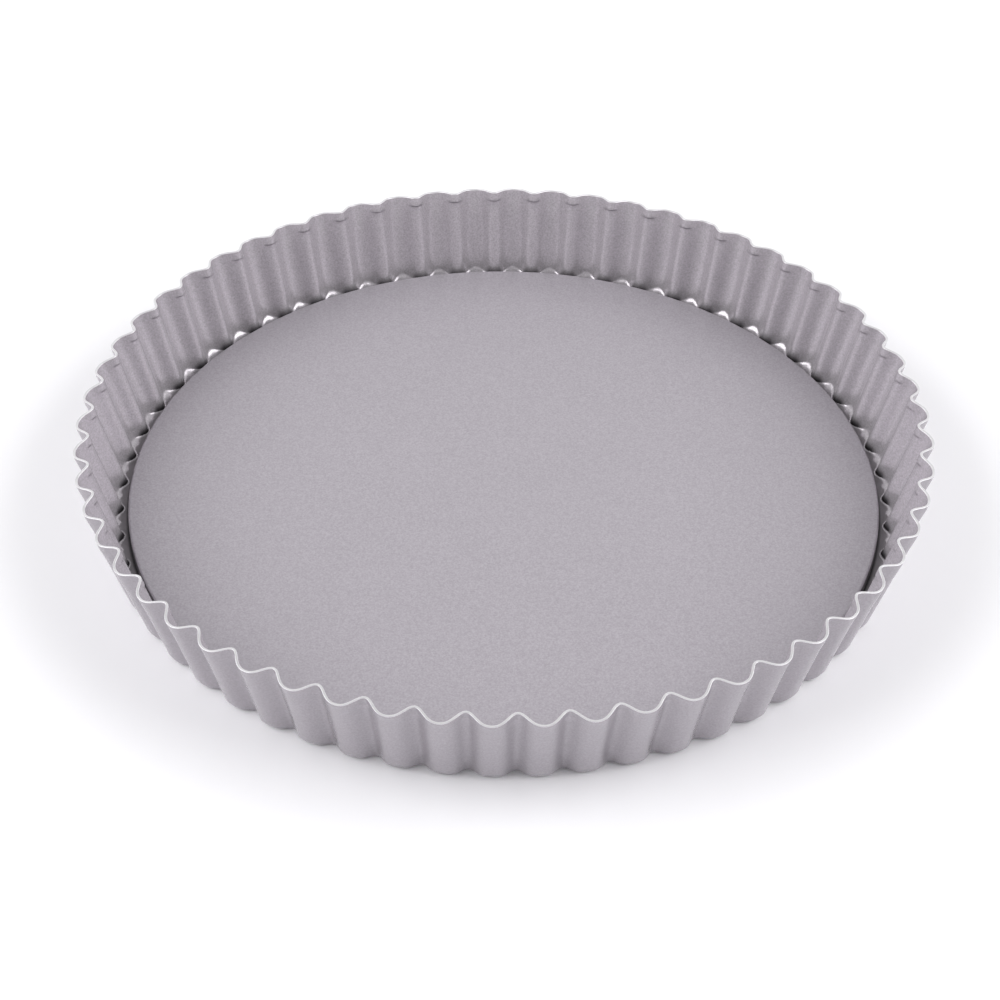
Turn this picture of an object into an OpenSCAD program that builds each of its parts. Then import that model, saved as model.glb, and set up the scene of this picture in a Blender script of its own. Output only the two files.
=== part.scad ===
// Round fluted baking pan: a pressed ring with a shelf at its foot, and a
// separate flat base that lies on the shelf and is pushed up to free the bake.
// Millimetres. The ring stands on z = 0 with its axis on Z, a lobe on +X.

/* [Ring] */
// Width of the rim, over the lobes of the flutes
rim_width = 280; // [240:1:320]
// Height from the table to the rim, where the rim is highest
ring_height = 32.6; // [26:0.2:45]
// How much further out the wall stands at the rim than at its foot
wall_flare = 8.9; // [3:0.05:14]
// Thickness of the ring's sheet
sheet = 0.8; // [0.5:0.05:1]

/* [Flutes] */
// Number of flutes round the wall
flute_count = 58; // [40:2:64]
// Depth of a flute under the rim band, from lobe to groove
wall_flute_depth = 4; // [1.6:0.1:4.4]
// Depth of a flute at the foot, from lobe to groove
foot_flute_depth = 3.3; // [1.4:0.1:3.6]
// Corner radius outside, under a lobe
lobe_corner = 4.2; // [2.2:0.1:4.6]
// Corner radius outside, under a groove
groove_corner = 1.6; // [1.5:0.1:2.2]

/* [Rim band] */
// Height of the band along the rim, where the flutes are pressed deeper
band_height = 2.9; // [2:0.1:5]
// Depth of a flute in the band, from lobe to groove
band_flute_depth = 4.6; // [2:0.1:5]
// Height of the small ledge between the wall and the band, in a groove
band_ledge = 0.6; // [0.3:0.1:1]
// How much further down the ledge fades out over a lobe
ledge_fade = 7; // [0:0.5:12]
// How much lower the rim lies over a lobe than over a groove
rim_dip = 1.2; // [0:0.1:1.6]

/* [Base] */
// Height of the base's top face over the shelf
base_height = 3.65; // [2:0.05:4.6]
// Thickness of the base's sheet
base_sheet = 0.8; // [0.5:0.05:1]
// Radius of the base's turned edge
base_corner = 1.1; // [1.1:0.1:1.8]
// Gap between the base's edge and the grooves at the wall's foot
base_gap = 1.7; // [1.4:0.05:3]
// How far the shelf reaches in under the base
shelf_reach = 8.5; // [5:0.5:14]

/* [Hidden] */
$fn = 180;
// How far a cutter runs past the faces that it cuts
overrun = 1;
// Points along one flute, and steps round the corner at the foot
flute_points = 6;
corner_steps = 3;
// How much flatter a lobe is than a groove
lobe_flat_share = 0.15;

// Angle of the wall from upright
lean = atan(wall_flare / ring_height);
// Half the sheet, measured level through the leaning wall
half_sheet = sheet / 2 / cos(lean);
// Radius of the sheet's middle line at the table, halfway up a flute
foot_radius = rim_width / 2 - half_sheet - wall_flare * (ring_height - rim_dip) / ring_height
    - band_flute_depth / 2 * (1 - lobe_flat_share);
// Height of the band's lower end, at the top of the ledge
band_foot = ring_height - band_height;
// Nearest that the wall's inner face comes to the axis, at the table
groove_radius = foot_radius - foot_flute_depth / 2 * (1 + lobe_flat_share) - half_sheet;
base_radius = groove_radius - base_gap;
hole_radius = base_radius - shelf_reach;

// The flutes' wave round the wall, and its slope for each radian
function wave(a) = cos(flute_count * a) - lobe_flat_share * cos(2 * flute_count * a);
function wave_slope(a) = -flute_count
    * (sin(flute_count * a) - 2 * lobe_flat_share * sin(2 * flute_count * a));

// Share of the way from groove to lobe at an angle
function lobe_share(a) = (1 + cos(flute_count * a)) / 2;

// Height of the wall's upper end, at the foot of the ledge
function wall_top(a) = band_foot - band_ledge - ledge_fade * lobe_share(a);

// Half the depth of a flute at an angle and a height
function half_depth(a, z) = lookup(z, [
    [0, foot_flute_depth],
    [wall_top(a), wall_flute_depth],
    [band_foot, band_flute_depth],
    [ring_height, band_flute_depth]
]) / 2;

// Height of the rim at an angle: it dips over each lobe
function rim_height(a) = ring_height - rim_dip * lobe_share(a);

// Point at an angle and a height, moved out square to the flutes from the
// sheet's middle line
function wall_point(a, out, z) = let (
    r = foot_radius + wall_flare * z / ring_height + half_depth(a, z) * wave(a),
    rise = half_depth(a, z) * wave_slope(a),
    length = norm([r, rise]),
    along = r + out * r / length,
    across = -out * rise / length
) [along * cos(a) - across * sin(a), along * sin(a) + across * cos(a), z];

// Outside corner radius at an angle, from groove to lobe
function corner(a) = groove_corner + (lobe_corner - groove_corner) * pow(lobe_share(a), 2);

// Point of the corner between wall and shelf. The turn goes from the lean of
// the wall to 90 on the shelf, at a distance from the corner's centre.
function corner_point(a, distance, turn) = let (
    z = corner(a) - distance * sin(turn),
    centre = half_sheet - corner(a) * (1 - sin(lean)) / cos(lean)
) wall_point(a, centre + distance * cos(turn) - z * tan(lean), z);

function turn_at(step) = lean + (90 - lean) * step / corner_steps;

// Point inside the hole, where the cutter takes the shelf away
function hole_point(a, z) = let (r = hole_radius - overrun) [r * cos(a), r * sin(a), z];

// One section of the ring, up the outside and down the inside
function section(a) = [
    hole_point(a, 0),
    each [for (step = [corner_steps:-1:0]) corner_point(a, corner(a), turn_at(step))],
    wall_point(a, half_sheet, wall_top(a)),
    wall_point(a, half_sheet, band_foot),
    wall_point(a, half_sheet, rim_height(a)),
    wall_point(a, -half_sheet, rim_height(a)),
    wall_point(a, -half_sheet, band_foot),
    wall_point(a, -half_sheet, wall_top(a)),
    each [for (step = [0:corner_steps]) corner_point(a, corner(a) - sheet, turn_at(step))],
    hole_point(a, sheet)
];

// The ring with its shelf still closed towards the middle
module ring_shell() {
    sections = flute_count * flute_points;
    size = len(section(0));
    points = [for (i = [0:sections - 1]) each section(360 * i / sections)];
    faces = [
        for (i = [0:sections - 1], j = [0:size - 1])
            let (
                next = (i + 1) % sections,
                up = (j + 1) % size,
                a = i * size + j,
                b = next * size + j,
                c = next * size + up,
                d = i * size + up
            ) each [[a, d, c], [a, c, b]]
    ];
    polyhedron(points, faces);
}

// Solid disc standing on z = 0, with its top edge rounded
module rounded_disc(radius, height, round) {
    rotate_extrude() {
        square([radius - round, height]);
        square([radius, height - round]);
        translate([radius - round, height - round]) circle(round);
    }
}

module fluted_ring() {
    color("#a39da3")
    difference() {
        ring_shell();
        translate([0, 0, -overrun]) cylinder(h = sheet + 2 * overrun, r = hole_radius);
    }
}

// Flat sheet whose edge is turned down on to the shelf
module loose_base() {
    color("#b3aeb3")
    translate([0, 0, sheet])
    difference() {
        rounded_disc(base_radius, base_height, base_corner);
        translate([0, 0, -overrun])
        rounded_disc(
            base_radius - base_sheet,
            base_height - base_sheet + overrun,
            base_corner - base_sheet
        );
    }
}

fluted_ring();
loose_base();
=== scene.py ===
"""Looks of the round fluted baking pan: its pressed ring and its loose base, in metres."""

import math

import bpy
import numpy as np
from mathutils import Matrix, Vector


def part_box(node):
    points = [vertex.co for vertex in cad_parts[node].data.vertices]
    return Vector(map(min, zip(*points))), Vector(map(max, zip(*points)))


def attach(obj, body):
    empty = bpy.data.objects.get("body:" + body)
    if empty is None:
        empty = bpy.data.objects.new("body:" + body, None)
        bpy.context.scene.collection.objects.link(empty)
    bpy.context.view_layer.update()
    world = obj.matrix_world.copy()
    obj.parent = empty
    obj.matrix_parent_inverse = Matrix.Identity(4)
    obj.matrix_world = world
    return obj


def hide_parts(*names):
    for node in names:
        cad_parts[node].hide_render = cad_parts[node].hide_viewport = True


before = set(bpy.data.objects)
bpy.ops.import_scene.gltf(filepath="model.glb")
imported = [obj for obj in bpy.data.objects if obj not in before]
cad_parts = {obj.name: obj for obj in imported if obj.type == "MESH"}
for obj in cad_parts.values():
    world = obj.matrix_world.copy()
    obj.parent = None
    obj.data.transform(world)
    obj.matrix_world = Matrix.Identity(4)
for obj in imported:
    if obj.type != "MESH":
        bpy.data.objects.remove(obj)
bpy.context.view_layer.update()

MM = 0.001

# Overall sizes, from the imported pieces
RING_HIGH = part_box("fluted_ring")[1]
BASE_LOW, BASE_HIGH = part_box("loose_base")
RIM_RADIUS = RING_HIGH[0]
RING_HEIGHT = RING_HIGH[2]
BASE_RADIUS = BASE_HIGH[0]
BASE_TOP = BASE_HIGH[2]
SHEET = BASE_LOW[2]

# The pressed ring
FLUTES = 58
WALL_FLARE = 8.9 * MM
FOOT_FLUTE_DEPTH = 3.3 * MM
WALL_FLUTE_DEPTH = 4.0 * MM
BAND_FLUTE_DEPTH = 4.6 * MM
BAND_HEIGHT = 2.9 * MM
BAND_LEDGE = 0.6 * MM
LOBE_LEDGE_SPREAD = 7.0 * MM
RIM_DIP = 1.2 * MM
LOBE_FLAT = 0.15
LOBE_CORNER = 4.2 * MM
GROOVE_CORNER = 1.6 * MM
SHELF_REACH = 8.5 * MM
CUT_EDGE_ROUND = 0.2 * MM

LEAN = math.atan(WALL_FLARE / RING_HEIGHT)
HALF_SHEET = SHEET / 2 / math.cos(LEAN)
LOBE_RIM_SHARE = (RING_HEIGHT - RIM_DIP) / RING_HEIGHT
FOOT_RADIUS = (
    RIM_RADIUS - HALF_SHEET - WALL_FLARE * LOBE_RIM_SHARE - BAND_FLUTE_DEPTH / 2 * (1 - LOBE_FLAT)
)
BAND_FOOT = RING_HEIGHT - BAND_HEIGHT
WALL_TOP = BAND_FOOT - BAND_LEDGE
HOLE_RADIUS = BASE_RADIUS - SHELF_REACH
GROOVE_FOOT = FOOT_RADIUS - FOOT_FLUTE_DEPTH / 2 * (1 + LOBE_FLAT) - HALF_SHEET

# The loose base
BASE_SHEET = 0.8 * MM
BASE_EDGE = 0.9 * MM

# Order of the ring's materials and of the base's
INSIDE_SLOT, CUT_EDGE_SLOT, SHELF_SLOT, OUTSIDE_SLOT, LEDGE_SHADE_SLOT = range(5)
FLAT_SLOT, TURNED_EDGE_SHADE_SLOT = range(2)

# How finely the pieces are meshed
STEPS_PER_FLUTE = 20
CORNER_STEPS = 10
WALL_STEPS = 14
LEDGE_STEPS = 8
BAND_STEPS = 4
EDGE_STEPS = 6
BASE_SEGMENTS = 720
BASE_RINGS = 40
# Faces that meet at more than this angle keep a sharp edge between them
SHARP_ANGLE = math.radians(50)

# The painted shade line under the band lies in the grooves, where the flutes' cosine is under this
GROOVE_MARK = -0.6
# Rows of the base painted dark as shade: the lower third of its bend, its upright edge and its lip
SHADED_EDGE_ROWS = 6

# Colours, linear red, green and blue
WHITE = (1, 1, 1, 1)
PLAIN_GREY = (0.4, 0.4, 0.4, 1)
# The inside and the outside are one coating: the inside is painted lighter and the outside darker, as
# light and shade.
INSIDE_LIT_COLOUR = (0.486, 0.457, 0.49, 1)
OUTSIDE_SHADED_COLOUR = (0.42, 0.395, 0.424, 1)
# Painted shade: the dark line under the band, in the grooves
LEDGE_SHADE_COLOUR = (0.28, 0.262, 0.284, 1)
# Painted shade: the shelf darker than the coating
SHELF_SHADE_COLOUR = (0.27, 0.25, 0.27, 1)
# Painted shadow along the base's edge, on the shelf
EDGE_SHADOW_COLOUR = (0.02, 0.018, 0.02, 1)
# Painted shade in the foot of the grooves
CORNER_SHADE_COLOUR = (0.04, 0.037, 0.04, 1)
# Bare cut edge, lightened as a painted highlight along the rim
CUT_EDGE_HIGHLIGHT_COLOUR = (0.66, 0.65, 0.67, 1)
BASE_COLOUR = (0.384, 0.360, 0.394, 1)
# Painted shade on the base's turned edge
TURNED_EDGE_SHADE_COLOUR = (0.12, 0.112, 0.12, 1)
FLOOR_COLOUR = (0.87, 0.865, 0.888, 1)

# The coating's speckle, and its slow mottle in patches for each metre
SPECKLE_SIZE = 0.6 * MM
SPECKLE_DETAIL = 2.0
SPECKLE_ROUGHNESS = 0.7
MOTTLE = 0.04
MOTTLE_SCALE = 28.0
MOTTLE_DETAIL = 3.0

# The camera of the photograph, from the middle of the rim
CAMERA_PLACE = Vector((-1.05, -587.46, 461.49)) * MM
CAMERA_AIM = Vector((-1.21, -41.8, 0.12)) * MM
CAMERA_LENS = 82.04
SENSOR_WIDTH = 36.0
CAMERA_ROLL = math.radians(0.504)
# How far past +X the nearest lobe lies in the photograph
FLUTE_TURN = math.radians(1.874)

# The studio's room. A height or a depth is the part of a direction of length 1 that
# points up or away from the camera.
CEILING_START = 0.72
CEILING_FULL = 0.9
WALL_LIGHT = 1.0
CEILING_LIGHT = 0.3
CAMERA_SIDE_DEPTH = -0.6
BACKDROP_DEPTH = 0.6
CAMERA_SIDE_LIGHT = 0.6
BACKDROP_LIGHT = 1.0
DIM_SIDE_START = 0.1
DIM_SIDE_FULL = 0.3

# Softboxes and floor
SOFTBOX_PLACE = (1.1, -0.15, 0.88)
SOFTBOX_SIZE = (1.2, 1.0)
SOFTBOX_POWER = 14.0
FLOOR_REACH = 4.0
FLOOR_NEAR = 0.4
FLOOR_FAR = 0.9


# Shapes

def wave(angle):
    """The flutes' wave round the wall: blunt lobes outside, narrower grooves."""
    return np.cos(FLUTES * angle) - LOBE_FLAT * np.cos(2 * FLUTES * angle)


def wave_slope(angle):
    """How steeply the wave rises, for each radian."""
    return -FLUTES * (np.sin(FLUTES * angle) - 2 * LOBE_FLAT * np.sin(2 * FLUTES * angle))


def lobe_share(angles):
    """Share of the way from groove to lobe."""
    return (1 + np.cos(FLUTES * angles)) / 2


def smooth_step(low, high, value):
    share = np.clip((value - low) / (high - low), 0, 1)
    return share * share * (3 - 2 * share)


def half_depth(angles, z):
    """Half the depth of a flute. The ledge under the band is short in a groove and long over a lobe."""
    below = FOOT_FLUTE_DEPTH + (WALL_FLUTE_DEPTH - FOOT_FLUTE_DEPTH) * np.clip(z / WALL_TOP, 0, 1)
    ledge = BAND_LEDGE + LOBE_LEDGE_SPREAD * lobe_share(angles)
    rise = (BAND_FLUTE_DEPTH - WALL_FLUTE_DEPTH) * smooth_step(BAND_FOOT - ledge, BAND_FOOT, z)
    return (below + rise) / 2


def rim_height(angles):
    """Height of the rim, which dips over each lobe."""
    return RING_HEIGHT - RIM_DIP * lobe_share(angles)


def level_ring(angles, radius, z):
    return np.stack([radius * np.cos(angles), radius * np.sin(angles), z + 0 * angles], -1)


def wall_ring(angles, out, z):
    """Points round the wall, moved out square to the flutes from the sheet's middle line."""
    depth = half_depth(angles, z)
    radius = FOOT_RADIUS + WALL_FLARE * z / RING_HEIGHT + depth * wave(angles)
    rise = depth * wave_slope(angles)
    length = np.hypot(radius, rise)
    along = radius + out * radius / length
    across = -out * rise / length
    x = along * np.cos(angles) - across * np.sin(angles)
    y = along * np.sin(angles) + across * np.cos(angles)
    return np.stack([x, y, z + 0 * angles], -1)


def corner_ring(angles, inside, turn):
    """Points of the corner between wall and shelf, outside or inside the sheet."""
    corner = GROOVE_CORNER + (LOBE_CORNER - GROOVE_CORNER) * lobe_share(angles) ** 2
    reach = corner - SHEET if inside else corner
    z = corner - reach * math.sin(turn)
    centre = HALF_SHEET - corner * (1 - math.sin(LEAN)) / math.cos(LEAN)
    return wall_ring(angles, centre + reach * math.cos(turn) - z * math.tan(LEAN), z)


def cut_edge_rings(angles):
    """Rings over the rounded cut edge, from outside to inside."""
    turns = np.linspace(0, math.pi / 2, EDGE_STEPS)
    middle = HALF_SHEET - CUT_EDGE_ROUND
    rings = []
    for side, order in ((1, turns[1:]), (-1, turns[::-1])):
        for turn in order:
            out = side * (middle + CUT_EDGE_ROUND * math.cos(turn))
            drop = CUT_EDGE_ROUND * (1 - math.sin(turn))
            rings.append(wall_ring(angles, out, rim_height(angles) - drop))
    return rings


def wall_heights(angles):
    """Heights of the wall's rings from the corner to just under the cut edge."""
    wall = np.linspace(LOBE_CORNER, WALL_TOP, WALL_STEPS, endpoint=False)
    ledge = np.linspace(WALL_TOP, BAND_FOOT, LEDGE_STEPS, endpoint=False)
    edge = rim_height(angles) - CUT_EDGE_ROUND
    band = [BAND_FOOT + (edge - BAND_FOOT) * share for share in np.linspace(0, 1, BAND_STEPS)]
    return [*wall, *ledge, *band]


def ring_rows(angles):
    """The ring's section, up the outside and down the inside, as rings of points.

    Returns the rings and the numbers of the first and last one on the cut edge."""
    turns = np.linspace(math.pi / 2, LEAN, CORNER_STEPS)
    heights = wall_heights(angles)
    rows = [level_ring(angles, HOLE_RADIUS, 0.0)]
    rows += [corner_ring(angles, False, turn) for turn in turns]
    rows += [wall_ring(angles, HALF_SHEET, z) for z in heights[1:]]
    first_edge = len(rows) - 1
    rows += cut_edge_rings(angles)
    last_edge = len(rows) - 1
    rows += [wall_ring(angles, -HALF_SHEET, z) for z in heights[-2:0:-1]]
    rows += [corner_ring(angles, True, turn) for turn in turns[::-1]]
    rows.append(level_ring(angles, HOLE_RADIUS, SHEET))
    return rows, first_edge, last_edge


def row_faces(row, next_row, count):
    """Quads between two rows of points, each a closed ring."""
    return [
        (row * count + i, row * count + (i + 1) % count,
         next_row * count + (i + 1) % count, next_row * count + i)
        for i in range(count)
    ]


def new_piece(name, points, faces, body, node):
    """A smooth mesh piece that rides on a body and stands for a CAD node."""
    mesh = bpy.data.meshes.new(name)
    mesh.from_pydata([tuple(p) for p in points], [], faces)
    mesh.shade_smooth()
    mesh.set_sharp_from_angle(angle=SHARP_ANGLE)
    piece = bpy.data.objects.new(name, mesh)
    bpy.context.collection.objects.link(piece)
    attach(piece, body)
    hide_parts(node)
    return piece


def finish_faces(piece, materials, slots):
    """Gives a piece its materials, and each face the slot of its own."""
    for material in materials:
        piece.data.materials.append(material)
    piece.data.polygons.foreach_set("material_index", slots)


def row_slot(row, first_edge, last_edge, last_row):
    """Slot of a row of the ring's faces, apart from the painted shade line under the band."""
    if first_edge <= row < last_edge or row == last_row:
        return CUT_EDGE_SLOT
    if row == last_row - 1:
        return SHELF_SLOT
    return OUTSIDE_SLOT if row < first_edge else INSIDE_SLOT


def build_ring(materials):
    """The pressed ring: wall, band, corner and shelf in one sheet."""
    count = FLUTES * STEPS_PER_FLUTE
    angles = np.arange(count) * 2 * math.pi / count
    rows, first_edge, last_edge = ring_rows(angles)
    in_groove = np.cos(FLUTES * (angles + math.pi / count)) < GROOVE_MARK
    first_ledge = last_edge + BAND_STEPS - 1
    faces = []
    slots = []
    for row in range(len(rows)):
        faces += row_faces(row, (row + 1) % len(rows), count)
        slot = row_slot(row, first_edge, last_edge, len(rows) - 1)
        on_ledge = first_ledge <= row < first_ledge + LEDGE_STEPS
        # Ledge faces in the grooves take the painted shade
        slots += [LEDGE_SHADE_SLOT if on_ledge and groove else slot for groove in in_groove]
    ring = new_piece("ring_sheet", np.concatenate(rows), faces, "ring", "fluted_ring")
    finish_faces(ring, materials, slots)


def base_section():
    """The base's section from the middle of its top, over the edge and back underneath."""
    flat = BASE_RADIUS - BASE_EDGE
    inner_edge = BASE_EDGE - BASE_SHEET
    ceiling = BASE_TOP - BASE_SHEET
    turns = np.linspace(0, math.pi / 2, CORNER_STEPS)
    top = [(flat * share, BASE_TOP) for share in np.linspace(0, 1, BASE_RINGS)[1:-1]]
    over = [
        (flat + BASE_EDGE * math.sin(t), BASE_TOP - BASE_EDGE * (1 - math.cos(t)))
        for t in turns
    ]
    lip = [(BASE_RADIUS, SHEET), (BASE_RADIUS - BASE_SHEET, SHEET)]
    under = [
        (flat + inner_edge * math.sin(t), ceiling - inner_edge * (1 - math.cos(t)))
        for t in turns[::-1]
    ]
    below = [(r, ceiling) for r, _ in top[::-1]]
    return top + over + lip + under + below


def build_base(materials):
    """The loose base: a flat sheet, its turned edge and the hollow under it."""
    angles = np.arange(BASE_SEGMENTS) * 2 * math.pi / BASE_SEGMENTS
    rows = [level_ring(angles, radius, z) for radius, z in base_section()]
    faces = []
    for row in range(len(rows) - 1):
        faces += row_faces(row + 1, row, BASE_SEGMENTS)
    points = list(np.concatenate(rows))
    middles = [(0.0, 0.0, BASE_TOP), (0.0, 0.0, BASE_TOP - BASE_SHEET)]
    top_middle = len(points)
    under_middle = top_middle + 1
    last = (len(rows) - 1) * BASE_SEGMENTS
    for i in range(BASE_SEGMENTS):
        after = (i + 1) % BASE_SEGMENTS
        faces.append((top_middle, i, after))
        faces.append((under_middle, last + after, last + i))
    base = new_piece("base_sheet", points + middles, faces, "base", "loose_base")
    lip_end = BASE_RINGS + CORNER_STEPS
    # The lower bend, upright edge and lip are painted dark as shade
    shaded_rows = range(lip_end - SHADED_EDGE_ROWS, lip_end)
    face_rows = [face // BASE_SEGMENTS for face in range(len(faces))]
    slots = [TURNED_EDGE_SHADE_SLOT if row in shaded_rows else FLAT_SLOT for row in face_rows]
    finish_faces(base, materials, slots)


# Nodes

def add_node(tree, kind, place=(0, 0), **settings):
    node = tree.nodes.new(kind)
    node.location = place
    for key, value in settings.items():
        setattr(node, key, value)
    return node


def feed(tree, socket, source):
    """Puts a plain number on a socket, or links another socket to it."""
    if isinstance(source, float):
        socket.default_value = source
    else:
        tree.links.new(source, socket)


def add_math(tree, place, operation, *sources):
    """A Math node fed by sockets or plain numbers. Returns its result."""
    node = add_node(tree, "ShaderNodeMath", place, operation=operation)
    for socket, source in zip(node.inputs, sources):
        feed(tree, socket, source)
    return node.outputs[0]


def add_fade(tree, place, source, start, end, before=1.0, after=0.0):
    """A smooth change, from one value before the start to another after the end."""
    fade = add_node(tree, "ShaderNodeMapRange", place, interpolation_type="SMOOTHSTEP")
    feed(tree, fade.inputs["Value"], source)
    feed(tree, fade.inputs["From Min"], start)
    feed(tree, fade.inputs["From Max"], end)
    feed(tree, fade.inputs["To Min"], before)
    feed(tree, fade.inputs["To Max"], after)
    return fade.outputs[0]


def add_length(tree, place, vector):
    length = add_node(tree, "ShaderNodeVectorMath", place, operation="LENGTH")
    tree.links.new(vector, length.inputs[0])
    return length.outputs["Value"]


def add_distance_from_axis(tree, where):
    """Distance of a point from the pan's upright axis."""
    flat = add_node(tree, "ShaderNodeVectorMath", (-700, 300), operation="MULTIPLY")
    flat.inputs[1].default_value = (1, 1, 0)
    tree.links.new(where.outputs["Object"], flat.inputs[0])
    return add_length(tree, (-500, 300), flat.outputs[0])


def colour_socket(sockets, name):
    """The colour socket of a Mix node, which has sockets of this name for other types too."""
    return next(socket for socket in sockets if socket.name == name and socket.type == "RGBA")


def new_group(name, inputs, outputs):
    """A shader node group with named sockets: (name, type, default)."""
    group = bpy.data.node_groups.new(name, "ShaderNodeTree")
    for socket_name, kind, default in inputs:
        socket = group.interface.new_socket(name=socket_name, in_out="INPUT", socket_type=kind)
        socket.default_value = default
    for socket_name, kind in outputs:
        group.interface.new_socket(name=socket_name, in_out="OUTPUT", socket_type=kind)
    entry = add_node(group, "NodeGroupInput", (-900, 0))
    leave = add_node(group, "NodeGroupOutput", (900, 0))
    return group, entry, leave


def place_group(tree, place, group, **values):
    """Places a group in a material with its own values.

    An underscore in a value's name stands for the blank in its socket's name."""
    node = add_node(tree, "ShaderNodeGroup", place, node_tree=group)
    for name, value in values.items():
        node.inputs[name.replace("_", " ")].default_value = value
    return node


# Effects that materials share

def coating_group():
    """Baked-on coating: a fine speckle in its colour, and a slow mottle in its colour and gloss."""
    group, entry, leave = new_group(
        "Speckled coating",
        [
            ("Colour", "NodeSocketColor", PLAIN_GREY),
            ("Speckle size", "NodeSocketFloat", 0.5 * MM),
            ("Speckle", "NodeSocketFloat", 0.1),
            ("Mottle", "NodeSocketFloat", 0.03),
            ("Roughness", "NodeSocketFloat", 0.35),
        ],
        [
            ("Colour", "NodeSocketColor"),
            ("Roughness", "NodeSocketFloat"),
            ("Height", "NodeSocketFloat"),
        ],
    )
    link = group.links.new
    where = add_node(group, "ShaderNodeTexCoord", (-900, 300))
    scale = add_math(group, (-700, 100), "DIVIDE", 1.0, entry.outputs["Speckle size"])
    speckle = add_node(group, "ShaderNodeTexNoise", (-500, 200))
    speckle.inputs["Detail"].default_value = SPECKLE_DETAIL
    speckle.inputs["Roughness"].default_value = SPECKLE_ROUGHNESS
    link(where.outputs["Object"], speckle.inputs["Vector"])
    link(scale, speckle.inputs["Scale"])
    mottle = add_node(group, "ShaderNodeTexNoise", (-500, -100))
    mottle.inputs["Scale"].default_value = MOTTLE_SCALE
    mottle.inputs["Detail"].default_value = MOTTLE_DETAIL
    link(where.outputs["Object"], mottle.inputs["Vector"])
    shades = []
    for noise, amount, y in ((speckle, "Speckle", 200), (mottle, "Mottle", -100)):
        centred = add_math(group, (-280, y), "SUBTRACT", noise.outputs["Fac"], 0.5)
        shades.append(add_math(group, (-100, y), "MULTIPLY", centred, entry.outputs[amount]))
    total = add_math(group, (80, 100), "ADD", *shades)
    shade = add_math(group, (260, 100), "ADD", total, 1.0)
    tint = add_node(group, "ShaderNodeVectorMath", (450, 200), operation="SCALE")
    link(entry.outputs["Colour"], tint.inputs[0])
    link(shade, tint.inputs["Scale"])
    gloss = add_math(group, (260, -100), "ADD", shades[1], 1.0)
    roughness = add_math(group, (450, -50), "MULTIPLY", gloss, entry.outputs["Roughness"])
    link(tint.outputs[0], leave.inputs["Colour"])
    link(roughness, leave.inputs["Roughness"])
    link(speckle.outputs["Fac"], leave.inputs["Height"])
    return group


def edge_shadow_line_group():
    """A painted shadow line on the shelf, along the base's edge."""
    group, entry, leave = new_group(
        "Painted edge shadow",
        [
            ("Line radius", "NodeSocketFloat", BASE_RADIUS),
            ("Full within", "NodeSocketFloat", 0.2 * MM),
            ("Gone beyond", "NodeSocketFloat", 1.2 * MM),
        ],
        [("Mask", "NodeSocketFloat")],
    )
    where = add_node(group, "ShaderNodeTexCoord", (-900, 300))
    radius = add_distance_from_axis(group, where)
    beside = add_math(group, (-300, 200), "SUBTRACT", radius, entry.outputs["Line radius"])
    distance = add_math(group, (-100, 200), "ABSOLUTE", beside)
    ends = (entry.outputs["Full within"], entry.outputs["Gone beyond"])
    line = add_fade(group, (150, 100), distance, *ends)
    group.links.new(line, leave.inputs["Mask"])
    return group


def corner_shade_group():
    """Painted shade that darkens the foot of the grooves, low down and near the base."""
    group, entry, leave = new_group(
        "Painted corner shade",
        [
            ("Colour", "NodeSocketColor", PLAIN_GREY),
            ("Shade colour", "NodeSocketColor", CORNER_SHADE_COLOUR),
            ("Full below", "NodeSocketFloat", SHEET),
            ("Gone above", "NodeSocketFloat", SHEET + 4.2 * MM),
            ("Full inside", "NodeSocketFloat", GROOVE_FOOT + 1.3 * MM),
            ("Gone outside", "NodeSocketFloat", GROOVE_FOOT + 2.9 * MM),
            ("Full when steeper", "NodeSocketFloat", 0.6),
            ("Gone when flatter", "NodeSocketFloat", 0.95),
        ],
        [("Colour", "NodeSocketColor")],
    )
    link = group.links.new
    where = add_node(group, "ShaderNodeTexCoord", (-900, 300))
    split = add_node(group, "ShaderNodeSeparateXYZ", (-700, 0))
    facing = add_node(group, "ShaderNodeSeparateXYZ", (-700, -300))
    link(where.outputs["Object"], split.inputs[0])
    link(where.outputs["Normal"], facing.inputs[0])
    radius = add_distance_from_axis(group, where)
    level = add_math(group, (-500, -300), "ABSOLUTE", facing.outputs["Z"])
    low, near, steep = [
        add_fade(group, (-200, y), source, entry.outputs[full], entry.outputs[gone])
        for source, full, gone, y in (
            (split.outputs["Z"], "Full below", "Gone above", 0),
            (radius, "Full inside", "Gone outside", 300),
            (level, "Full when steeper", "Gone when flatter", -300),
        )
    ]
    low_and_near = add_math(group, (100, 200), "MULTIPLY", low, near)
    shade_amount = add_math(group, (250, 0), "MULTIPLY", low_and_near, steep)
    mix = add_node(group, "ShaderNodeMix", (400, 100), data_type="RGBA")
    link(shade_amount, mix.inputs["Factor"])
    link(entry.outputs["Colour"], colour_socket(mix.inputs, "A"))
    link(entry.outputs["Shade colour"], colour_socket(mix.inputs, "B"))
    link(colour_socket(mix.outputs, "Result"), leave.inputs["Colour"])
    return group


def far_floor_group():
    """How far out on the floor a point lies: nothing near the pan, full further out."""
    group, entry, leave = new_group(
        "Far floor",
        [("Near", "NodeSocketFloat", FLOOR_NEAR), ("Far", "NodeSocketFloat", FLOOR_FAR)],
        [("Mask", "NodeSocketFloat")],
    )
    where = add_node(group, "ShaderNodeTexCoord", (-900, 300))
    radius = add_length(group, (-500, 300), where.outputs["Object"])
    ends = (entry.outputs["Near"], entry.outputs["Far"])
    mask = add_fade(group, (150, 100), radius, *ends, before=0.0, after=1.0)
    group.links.new(mask, leave.inputs["Mask"])
    return group


# Materials

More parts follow.
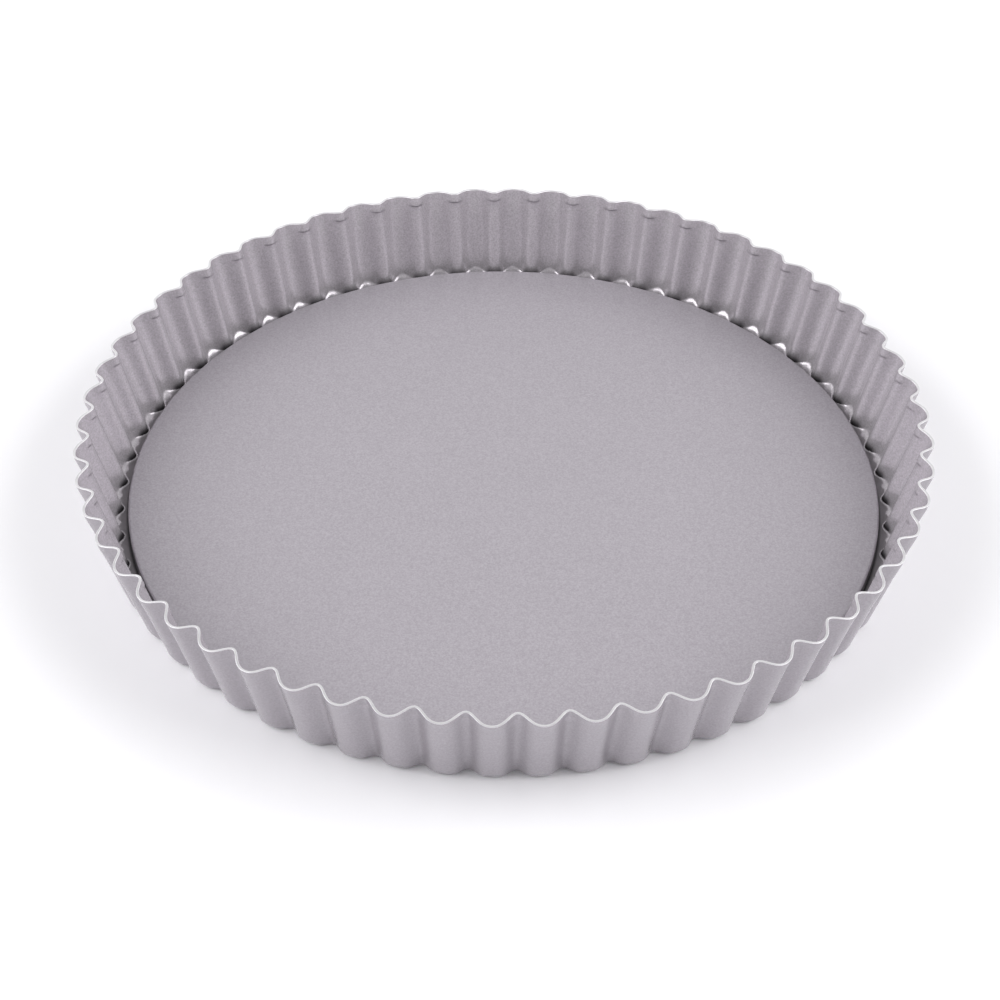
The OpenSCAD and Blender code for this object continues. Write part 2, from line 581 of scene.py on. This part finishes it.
def new_material(name):
    material = bpy.data.materials.new(name)
    material.use_nodes = True
    tree = material.node_tree
    tree.nodes.clear()
    shader = add_node(tree, "ShaderNodeBsdfPrincipled", (300, 0))
    output = add_node(tree, "ShaderNodeOutputMaterial", (600, 0))
    tree.links.new(shader.outputs[0], output.inputs["Surface"])
    return material, tree, shader


def coated_steel(name, group, colour, metal, roughness, speckle, relief, shine=0.5):
    """Grey non-stick coating over the pressed sheet."""
    material, tree, shader = new_material(name)
    coat = place_group(
        tree, (-200, 0), group, Colour=colour, Speckle_size=SPECKLE_SIZE, Speckle=speckle,
        Mottle=MOTTLE, Roughness=roughness,
    )
    shader.inputs["Metallic"].default_value = metal
    shader.inputs["Specular IOR Level"].default_value = shine
    bump = add_node(tree, "ShaderNodeBump", (50, -200))
    bump.inputs["Strength"].default_value = 1.0
    bump.inputs["Distance"].default_value = relief
    tree.links.new(coat.outputs["Colour"], shader.inputs["Base Color"])
    tree.links.new(coat.outputs["Roughness"], shader.inputs["Roughness"])
    tree.links.new(coat.outputs["Height"], bump.inputs["Height"])
    tree.links.new(bump.outputs["Normal"], shader.inputs["Normal"])
    return material


def paint_corner_shade(material, corner_group):
    """Puts the painted corner shade between a material's coating and its shader."""
    tree = material.node_tree
    shader = next(node for node in tree.nodes if node.type == "BSDF_PRINCIPLED")
    coat = shader.inputs["Base Color"].links[0].from_socket
    corner = place_group(tree, (50, 200), corner_group)
    tree.links.new(coat, corner.inputs["Colour"])
    tree.links.new(corner.outputs["Colour"], shader.inputs["Base Color"])


def shaded_shelf(coat_group, line_group):
    """The shelf's rougher coating, painted darker as shade, with a painted shadow line under the base's
    edge.
    """
    material, tree, shader = new_material("Shelf coating, painted shade")
    coat = place_group(
        tree, (-400, 0), coat_group, Colour=SHELF_SHADE_COLOUR, Speckle_size=SPECKLE_SIZE, Speckle=0.2,
        Mottle=0.03, Roughness=0.5,
    )
    line = place_group(tree, (-400, 300), line_group)
    mix = add_node(tree, "ShaderNodeMix", (0, 100), data_type="RGBA")
    colour_socket(mix.inputs, "B").default_value = EDGE_SHADOW_COLOUR
    tree.links.new(line.outputs["Mask"], mix.inputs["Factor"])
    tree.links.new(coat.outputs["Colour"], colour_socket(mix.inputs, "A"))
    tree.links.new(colour_socket(mix.outputs, "Result"), shader.inputs["Base Color"])
    tree.links.new(coat.outputs["Roughness"], shader.inputs["Roughness"])
    return material


def cut_edge_with_highlight(group):
    """The sheet's bare cut edge along the rim: finely grained metal, its colour lightened into a
    painted highlight.
    """
    material, tree, shader = new_material("Cut edge, painted highlight")
    grain = place_group(
        tree, (-200, 0), group, Colour=CUT_EDGE_HIGHLIGHT_COLOUR, Speckle_size=0.8 * MM, Speckle=0.12,
        Mottle=0.05, Roughness=0.32,
    )
    shader.inputs["Metallic"].default_value = 0.5
    tree.links.new(grain.outputs["Colour"], shader.inputs["Base Color"])
    tree.links.new(grain.outputs["Roughness"], shader.inputs["Roughness"])
    return material


def ring_materials(coating):
    """The ring's materials, in the order of its slots."""
    # One coating, painted lighter on the inside and darker on the outside as light and shade.
    inside = coated_steel(
        "Inside coating", coating, INSIDE_LIT_COLOUR,
        metal=0.45, roughness=0.25, speckle=0.85, relief=0.03 * MM,
    )
    # Painted shade in the foot of the inner grooves
    paint_corner_shade(inside, corner_shade_group())
    # The shelf painted darker as shade, with a painted shadow line along the base's edge
    shelf = shaded_shelf(coating, edge_shadow_line_group())
    outside = coated_steel(
        "Outside coating", coating, OUTSIDE_SHADED_COLOUR,
        metal=0.45, roughness=0.25, speckle=0.5, relief=0.03 * MM,
    )
    # Painted shade under the band, in the grooves
    ledge = coated_steel(
        "Ledge painted shade", coating, LEDGE_SHADE_COLOUR,
        metal=0.45, roughness=0.35, speckle=0.6, relief=0.03 * MM,
    )
    return [inside, cut_edge_with_highlight(coating), shelf, outside, ledge]


def base_materials(coating):
    """The base's materials, in the order of its slots."""
    flat = coated_steel(
        "Base coating", coating, BASE_COLOUR,
        metal=0.3, roughness=0.42, speckle=0.65, relief=0.05 * MM, shine=0.15,
    )
    # Painted shade on the turned edge
    turned_edge_shade = coated_steel(
        "Turned edge, painted shade", coating, TURNED_EDGE_SHADE_COLOUR,
        metal=0.1, roughness=0.5, speckle=0.1, relief=0.05 * MM,
    )
    return [flat, turned_edge_shade]


# Stage, light and camera

def whiten_far_floor(tree, shader):
    """Far from the pan the floor shows as plain white, also in gloss, and gives no more light."""
    output = next(node for node in tree.nodes if node.type == "OUTPUT_MATERIAL")
    far = place_group(tree, (-200, 300), far_floor_group())
    path = add_node(tree, "ShaderNodeLightPath", (-200, 600))
    camera, glossy, through = (
        path.outputs[f"Is {kind} Ray"] for kind in ("Camera", "Glossy", "Transmission")
    )
    camera_or_glossy = add_math(tree, (0, 700), "MAXIMUM", camera, glossy)
    shown = add_math(tree, (100, 600), "MAXIMUM", camera_or_glossy, through)
    share = add_math(tree, (200, 400), "MULTIPLY", far.outputs["Mask"], shown)
    white = add_node(tree, "ShaderNodeEmission", (300, 250))
    white.inputs["Color"].default_value = WHITE
    mix = add_node(tree, "ShaderNodeMixShader", (500, 200))
    tree.links.new(share, mix.inputs[0])
    tree.links.new(shader.outputs[0], mix.inputs[1])
    tree.links.new(white.outputs[0], mix.inputs[2])
    tree.links.new(mix.outputs[0], output.inputs["Surface"])


def add_floor():
    """White paper floor that keeps the pan's shadow."""
    mesh = bpy.data.meshes.new("floor")
    corners = [(x * FLOOR_REACH, y * FLOOR_REACH, 0) for x, y in ((-1, -1), (1, -1), (1, 1), (-1, 1))]
    mesh.from_pydata(corners, [], [(0, 1, 2, 3)])
    floor = bpy.data.objects.new("floor", mesh)
    bpy.context.collection.objects.link(floor)
    material, tree, shader = new_material("White paper floor")
    shader.inputs["Base Color"].default_value = FLOOR_COLOUR
    shader.inputs["Roughness"].default_value = 0.9
    shader.inputs["Specular IOR Level"].default_value = 0.2
    whiten_far_floor(tree, shader)
    mesh.materials.append(material)


def add_world():
    """Soft studio: a white backdrop and horizon, a dimmer ceiling and a dimmer room at the camera."""
    world = bpy.data.worlds.new("White studio")
    bpy.context.scene.world = world
    world.use_nodes = True
    tree = world.node_tree
    tree.nodes.clear()
    where = add_node(tree, "ShaderNodeTexCoord", (-800, 0))
    split = add_node(tree, "ShaderNodeSeparateXYZ", (-600, 0))
    tree.links.new(where.outputs["Generated"], split.inputs[0])
    height = split.outputs["Z"]
    depth = split.outputs["Y"]
    overhead = add_fade(
        tree, (-400, 0), height, CEILING_START, CEILING_FULL, WALL_LIGHT, CEILING_LIGHT
    )
    around = add_fade(
        tree, (-400, -300), depth, CAMERA_SIDE_DEPTH, BACKDROP_DEPTH, CAMERA_SIDE_LIGHT, BACKDROP_LIGHT
    )
    horizon = add_fade(tree, (-400, -600), height, DIM_SIDE_START, DIM_SIDE_FULL)
    side = add_math(tree, (-280, -300), "MAXIMUM", around, horizon)
    strength = add_math(tree, (-280, 0), "MULTIPLY", overhead, side)
    light = add_node(tree, "ShaderNodeBackground", (-150, 0))
    light.inputs["Color"].default_value = WHITE
    output = add_node(tree, "ShaderNodeOutputWorld", (100, 0))
    tree.links.new(strength, light.inputs["Strength"])
    tree.links.new(light.outputs[0], output.inputs["Surface"])


def add_softbox(name, place):
    """A softbox over the pan, aimed at its middle."""
    data = bpy.data.lights.new(name, "AREA")
    data.shape = "RECTANGLE"
    data.size, data.size_y = SOFTBOX_SIZE
    data.energy = SOFTBOX_POWER
    lamp = bpy.data.objects.new(name, data)
    lamp.location = place
    lamp.rotation_euler = (-Vector(place)).to_track_quat("-Z", "Y").to_euler()
    bpy.context.collection.objects.link(lamp)


def add_camera():
    """The photograph's camera, turned back so that the nearest lobe lies on +X."""
    turn = Matrix.Rotation(-FLUTE_TURN, 4, "Z")
    rim_middle = Vector((0, 0, RING_HEIGHT - RIM_DIP / 2))
    place = turn @ CAMERA_PLACE + rim_middle
    aim = turn @ CAMERA_AIM + rim_middle
    data = bpy.data.cameras.new("camera")
    data.sensor_width = SENSOR_WIDTH
    data.lens = CAMERA_LENS
    camera = bpy.data.objects.new("camera", data)
    look = (aim - place).to_track_quat("-Z", "Y").to_matrix().to_4x4()
    camera.matrix_world = Matrix.Translation(place) @ look @ Matrix.Rotation(CAMERA_ROLL, 4, "Z")
    bpy.context.collection.objects.link(camera)
    bpy.context.scene.camera = camera


def build_scene():
    add_camera()
    add_world()
    for name, side in (("left_softbox", -1), ("right_softbox", 1)):
        add_softbox(name, (side * SOFTBOX_PLACE[0], *SOFTBOX_PLACE[1:]))
    add_floor()
    coating = coating_group()
    build_ring(ring_materials(coating))
    build_base(base_materials(coating))
    bpy.context.scene.view_settings.view_transform = "Standard"


build_scene()
bpy.context.view_layer.update()
